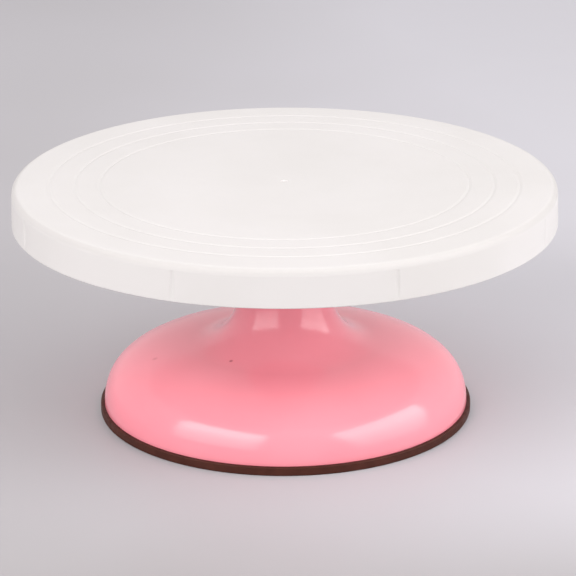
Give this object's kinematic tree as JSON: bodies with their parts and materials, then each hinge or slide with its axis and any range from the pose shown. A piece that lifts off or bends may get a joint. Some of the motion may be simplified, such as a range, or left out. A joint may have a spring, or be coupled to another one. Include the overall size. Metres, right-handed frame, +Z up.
{
  "type": "cake turntable",
  "caption": "Cake turntable: a round flat platter with a shallow skirt and engraved guide rings that spins by hand on a domed pedestal base with an anti-slip ring, and lifts off.",
  "frame": {"origin": "centre of the circle on which the anti-slip ring stands, on the spindle's axis", "axes": "+Z up along the spindle's axis; -Y is the front and +X the right; both horizontal axes fall midway between two ribs"},
  "size_m": [0.28, 0.28, 0.1228],
  "materials": {
    "white_plastic": "satin, fine moulded grain",
    "pink_plastic": "high gloss",
    "cap_plastic": "satin",
    "brown_rubber": "matte",
    "ground_steel": "ground bright",
    "ball_steel": "polished",
    "plated_steel": "zinc plated",
    "screw_steel": "zinc plated"
  },
  "bodies": {
    "base": {"base_shell": "pink_plastic", "bearing_cap": "cap_plastic", "cap_screws": "screw_steel", "anti_slip_ring": "brown_rubber", "upper_bearing_outer_ring": "ground_steel", "upper_bearing_top_shield": "plated_steel", "upper_bearing_bottom_shield": "plated_steel", "lower_bearing_outer_ring": "ground_steel", "lower_bearing_top_shield": "plated_steel", "lower_bearing_bottom_shield": "plated_steel"},
    "rotor": {"upper_bearing_inner_ring": "ground_steel", "lower_bearing_inner_ring": "ground_steel"},
    "platter": {"platter": "white_plastic", "spindle_flange": "plated_steel", "flange_screws": "screw_steel", "spindle": "ground_steel", "spindle_spacer": "plated_steel"},
    "upper_cage": {"upper_bearing_cage": "plated_steel", "upper_bearing_balls": "ball_steel"},
    "lower_cage": {"lower_bearing_cage": "plated_steel", "lower_bearing_balls": "ball_steel"}
  },
  "joints": [
    {"name": "platter_spin", "type": "hinge", "parent": "base", "child": "rotor", "pos_m": [0, 0, 0.1025], "axis": [0, 0, 1], "continuous": true},
    {"name": "platter_lift", "type": "slide", "parent": "rotor", "child": "platter", "axis": [0, 0, 1], "range_m": [0, 0.07]},
    {"name": "upper_cage_spin", "type": "hinge", "parent": "base", "child": "upper_cage", "pos_m": [0, 0, 0.1025], "axis": [0, 0, 1], "continuous": true},
    {"name": "lower_cage_spin", "type": "hinge", "parent": "base", "child": "lower_cage", "pos_m": [0, 0, 0.0525], "axis": [0, 0, 1], "continuous": true}
  ],
  "couplings": [
    {"joint": "upper_cage_spin", "follows": "platter_spin", "ratio": 0.3677},
    {"joint": "lower_cage_spin", "follows": "platter_spin", "ratio": 0.3677}
  ]
}
